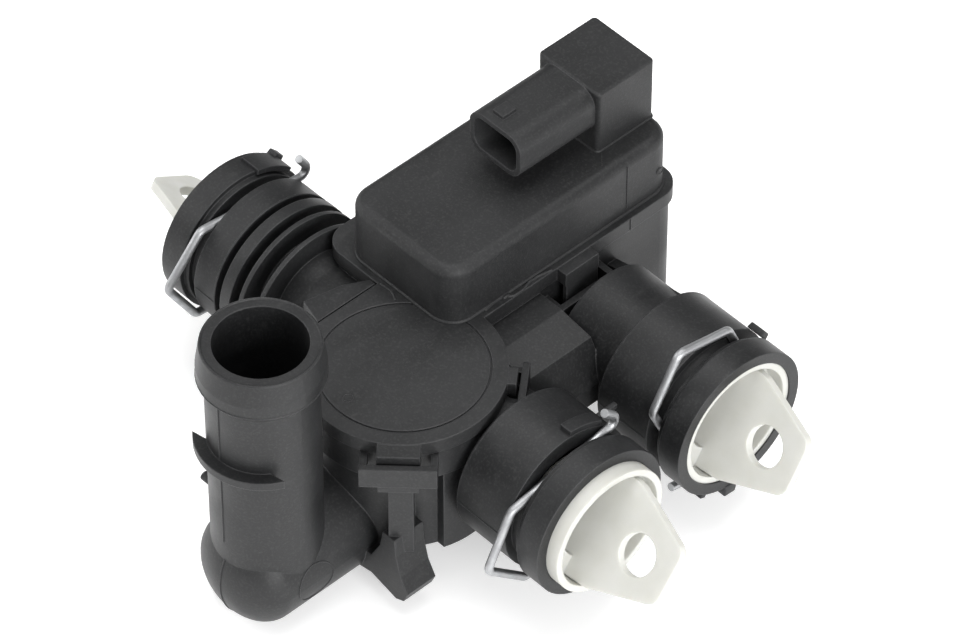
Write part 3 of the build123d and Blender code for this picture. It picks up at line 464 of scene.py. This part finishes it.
def spigot_and_duct_details():
    """Mould seams, ejector ring and rim bead of the hose spigot and the duct under it."""
    x, y = SPIGOT
    reach = SPIGOT_RADIUS + PROUD
    seam = [(x, y - reach, 12 + 0.5 * step) for step in range(69)]
    bead("spigot_seam", seam, 0.16, "body_nylon")
    back_seam = [(x, y + reach, 14 + 0.5 * step) for step in range(65)]
    bead("spigot_back_seam", back_seam, 0.16, "body_nylon")
    ring("spigot_rim", (x, y, SPIGOT_TOP - 0.15), 10.3, 0.3, "body_nylon")
    ring("bead_shoulder", (x, y, SPIGOT_TOP - 7), 11.2, 0.22, "body_nylon")

    ejector_radius = 4.0
    ejector_y = -28.4
    ejector = []
    for step in range(36):
        angle = math.radians(10 * step)
        along = ejector_radius * math.cos(angle)
        rise = ejector_radius * math.sin(angle)
        side = math.sqrt(DUCT_RADIUS ** 2 - rise ** 2)
        ejector.append((x + side, ejector_y + along, DUCT_HEIGHT + rise))
    bead("ejector_ring", ejector, 0.14, "body_nylon", closed=True)

    end_seam = []
    for step in range(35):
        angle = math.radians(-85 + 5 * step)
        along = (DUCT_END_LENGTH + PROUD) * math.cos(angle)
        rise = (DUCT_RADIUS + PROUD) * math.sin(angle)
        end_seam.append((x, DUCT_END_Y - along, DUCT_HEIGHT + rise))
    bead("duct_end_seam", end_seam, 0.16, "body_nylon")


def socket_details(name, side, centre_y, shoulder, groove):
    """Two mould seams along one socket barrel and a ring at its shoulder."""
    for sign, label in ((-1, "low"), (1, "high")):
        y = centre_y + sign * 14.5
        seam = [(shoulder + side * 0.3, y, SOCKET_HEIGHT), (groove - side * 0.4, y, SOCKET_HEIGHT)]
        bead(f"barrel_seam_{label}_{name}", seam, 0.14, "body_nylon")
    centre = (shoulder + side * 0.25, centre_y, SOCKET_HEIGHT)
    ring(f"shoulder_ring_{name}", centre, 14.3, 0.25, "body_nylon", Y, Z)


def barrel_lug(name, centre_y, x, angle, size, slot_name="body_nylon"):
    """Lug standing square on a barrel, at an angle from +Y towards +Z; size is along, around, out."""
    radius = BARREL_RADIUS + size[2] / 2 - 0.3
    direction = math.radians(angle)
    y = centre_y + radius * math.cos(direction)
    z = SOCKET_HEIGHT + radius * math.sin(direction)
    block(name, (x, y, z), size, slot_name, turn=(angle - 90, 0, 0), round_off=0.25, taper=0.9)


def clip_holders():
    """Pads and lugs on the barrels that guide the ends of the wire clips."""
    pad = (BARREL_RADIUS - 0.4, BARREL_RADIUS + 0.7)
    front_axis = (FRONT_Y, SOCKET_HEIGHT)
    left_axis = (LEFT_Y, SOCKET_HEIGHT)
    curved_plate("clip_pad_front", front_axis, (29.4, 32.0), pad, (56, 86), "body_nylon")
    curved_plate("clip_pad_left", left_axis, (-57.2, -52.6), pad, (42, 76), "body_nylon")
    block("clip_nib_front", (29.6, 20.6, 26.0), (1.0, 4.4, 1.1), "body_nylon", round_off=0.25)
    barrel_lug("clip_nib_left", LEFT_Y, -57.1, 42, (2.2, 2.6, 1.7))
    barrel_lug("clip_nib_rear", REAR_Y, 32.6, 36, (3.6, 2.2, 1.3))
    barrel_lug("rim_nib_rear", REAR_Y, 39.2, -95, (3.0, 3.0, 2.6))
    barrel_lug("rim_nib_rear_small", REAR_Y, 38.8, -117, (1.8, 1.4, 1.9))


def cover_details():
    """Beads at the foot of the cover and of its turret, two mould lines and a dimple."""
    cover_foot = rounded_loop(COVER_X, COVER_Y, 5.0, LID_TOP + 0.1)
    bead("cover_foot", cover_foot, 0.4, "cover_nylon", closed=True)
    turret_foot = rounded_loop((-21.2, -5.8), (51.9, 65.8), 0.9, COVER_TOP)
    bead("turret_foot", turret_foot, 0.3, "cover_nylon", closed=True)
    side = COVER_X[1] + PROUD
    bead("cover_side_line", [(side, 54.4, 29.6), (side, 54.4, 40.6)], 0.12, "cover_nylon")
    ring("cover_dimple", (side, 62.6, 34.1), 0.7, 0.12, "cover_nylon", Y, Z, 20)
    bead("cover_top_line", [(-5.4, 52.6, COVER_TOP), (-2.9, 50.3, COVER_TOP)], 0.12, "cover_nylon")


def level_line(name, path, thickness):
    """Bead along a path that lies on top of the plate."""
    bead(name, [(x, y, LID_TOP) for x, y in path], thickness, "plate_nylon")


def plate_details():
    """Gate mark in the lid, lip and line at the plate's edge, ridge where lid and plate meet."""
    ring("lid_gate_ring", (-1.1, -12.0, LID_TOP), 0.9, 0.1, "plate_nylon", count=24)
    lip = [(-0.3, 19.6), (-0.5, 21.5), (-0.5, 24.0), (0.6, 25.9), (0.6, 28.0)]
    lip += [(-0.1, 30.0), (0.0, 32.1), (0.55, 35.0)]
    level_line("plate_lip", lip, 0.3)
    bead("plate_edge_line", [(0.92, 54.0, 26.3), (0.92, 54.0, 28.8)], 0.12, "plate_nylon")
    level_line("lid_ridge", [(-17.6, 10.6), (-15.0, 10.8), (-13.9, 10.4), (-12.9, 9.8)], 0.22)
    block("plate_locator", (-0.1, 24.6, LID_TOP + 0.1), (0.7, 1.6, 0.8), "plate_nylon")


spigot_and_duct_details()
socket_details("front", 1, FRONT_Y, SHOULDER_X, 32.1)
socket_details("rear", 1, REAR_Y, SHOULDER_X, 32.1)
socket_details("left", -1, LEFT_Y, LEFT_SHOULDER_X, -50.0)
clip_holders()
cover_details()
plate_details()


# ---------------------------------------------------------------- floor, light and camera
def build_floor():
    """Large pale floor just under the valve, lit well enough to read as white."""
    mesh = bpy.data.meshes.new("studio_floor")
    shape = bmesh.new()
    floor_level = cad_box[0][2] - 0.0002
    half_side = 3.0
    corners = []
    for x, y in ((-1, -1), (1, -1), (1, 1), (-1, 1)):
        corners.append(shape.verts.new((half_side * x, half_side * y, floor_level)))
    shape.faces.new(corners)
    shape.to_mesh(mesh)
    shape.free()
    floor = bpy.data.objects.new("studio_floor", mesh)
    bpy.context.scene.collection.objects.link(floor)
    look = Look("look_floor", (0.9, 0.9, 0.9), 0.75)
    look.tint(look.remap(look.noise(0.12, 2.0), 0.0, 0.25), (0.87, 0.87, 0.87))
    look.bump(look.noise(0.004, 2.0), 0.00005, 0.2)
    look.shader.inputs["Emission Color"].default_value = (1, 1, 1, 1)
    look.shader.inputs["Emission Strength"].default_value = 0.36
    floor.data.materials.append(look.material)


def soft_light(name, position, aim, size, power):
    """Rectangular softbox pointed at a spot."""
    data = bpy.data.lights.new(name, "AREA")
    data.shape = "RECTANGLE"
    data.size = size[0]
    data.size_y = size[1]
    data.energy = power
    lamp = bpy.data.objects.new(name, data)
    lamp.location = position
    lamp.rotation_euler = (Vector(aim) - Vector(position)).to_track_quat("-Z", "Y").to_euler()
    bpy.context.scene.collection.objects.link(lamp)


def build_world():
    """White tent, brighter on the +X side and dim behind; the camera itself always sees plain white."""
    world = bpy.data.worlds.new("studio_world")
    bpy.context.scene.world = world
    world.use_nodes = True
    nodes, links = world.node_tree.nodes, world.node_tree.links
    direction = nodes.new("ShaderNodeTexCoord").outputs["Generated"]
    towards_light = nodes.new("ShaderNodeVectorMath")
    towards_light.operation = "DOT_PRODUCT"
    towards_light.inputs[1].default_value = (0.8, -0.5, 0.0)
    links.new(direction, towards_light.inputs[0])
    wall = nodes.new("ShaderNodeMapRange")
    wall.inputs["From Min"].default_value = -0.6
    wall.inputs["From Max"].default_value = 0.8
    wall.inputs["To Min"].default_value = 0.2
    wall.inputs["To Max"].default_value = 0.8
    links.new(towards_light.outputs["Value"], wall.inputs["Value"])
    seen = nodes.new("ShaderNodeMix")
    links.new(nodes.new("ShaderNodeLightPath").outputs["Is Camera Ray"], seen.inputs["Factor"])
    links.new(wall.outputs["Result"], seen.inputs["A"])
    seen.inputs["B"].default_value = 1.0
    background = nodes["Background"]
    background.inputs["Color"].default_value = (1, 1, 1, 1)
    links.new(seen.outputs["Result"], background.inputs["Strength"])


def build_light():
    """A large softbox overhead and weaker ones at the sides."""
    aim = (0, 0, 0.02)
    soft_light("light_top", (-0.05, 0.1, 0.9), aim, (0.7, 0.7), 6.5)
    soft_light("light_left", (-0.8, -0.4, 0.4), aim, (0.5, 0.6), 4)
    soft_light("light_right", (0.85, -0.25, 0.35), aim, (0.5, 0.5), 8)
    bpy.context.scene.view_settings.view_transform = "Standard"


def build_camera():
    """Camera above the front right corner of the valve, turned as the object is seen for sale."""
    azimuth = math.radians(47.0)
    elevation = math.radians(46.4)
    distance = 1.0435
    shift_right = 0.0133
    shift_up = 0.00817
    level = math.cos(elevation)
    right = Vector((math.cos(azimuth), math.sin(azimuth), 0))
    back = Vector((math.sin(azimuth) * level, -math.cos(azimuth) * level, math.sin(elevation)))
    up = back.cross(right)
    lid_centre = Vector((0, 0, LID_TOP * MM))
    position = lid_centre + back * distance + right * shift_right + up * shift_up
    data = bpy.data.cameras.new("photo_camera")
    data.lens = 225
    data.sensor_width = 36
    data.clip_start = 0.05
    camera = bpy.data.objects.new("photo_camera", data)
    orientation = Matrix((right, up, back)).transposed().to_quaternion()
    camera.matrix_world = Matrix.LocRotScale(position, orientation, None)
    bpy.context.scene.collection.objects.link(camera)
    bpy.context.scene.camera = camera


build_floor()
build_world()
build_light()
build_camera()
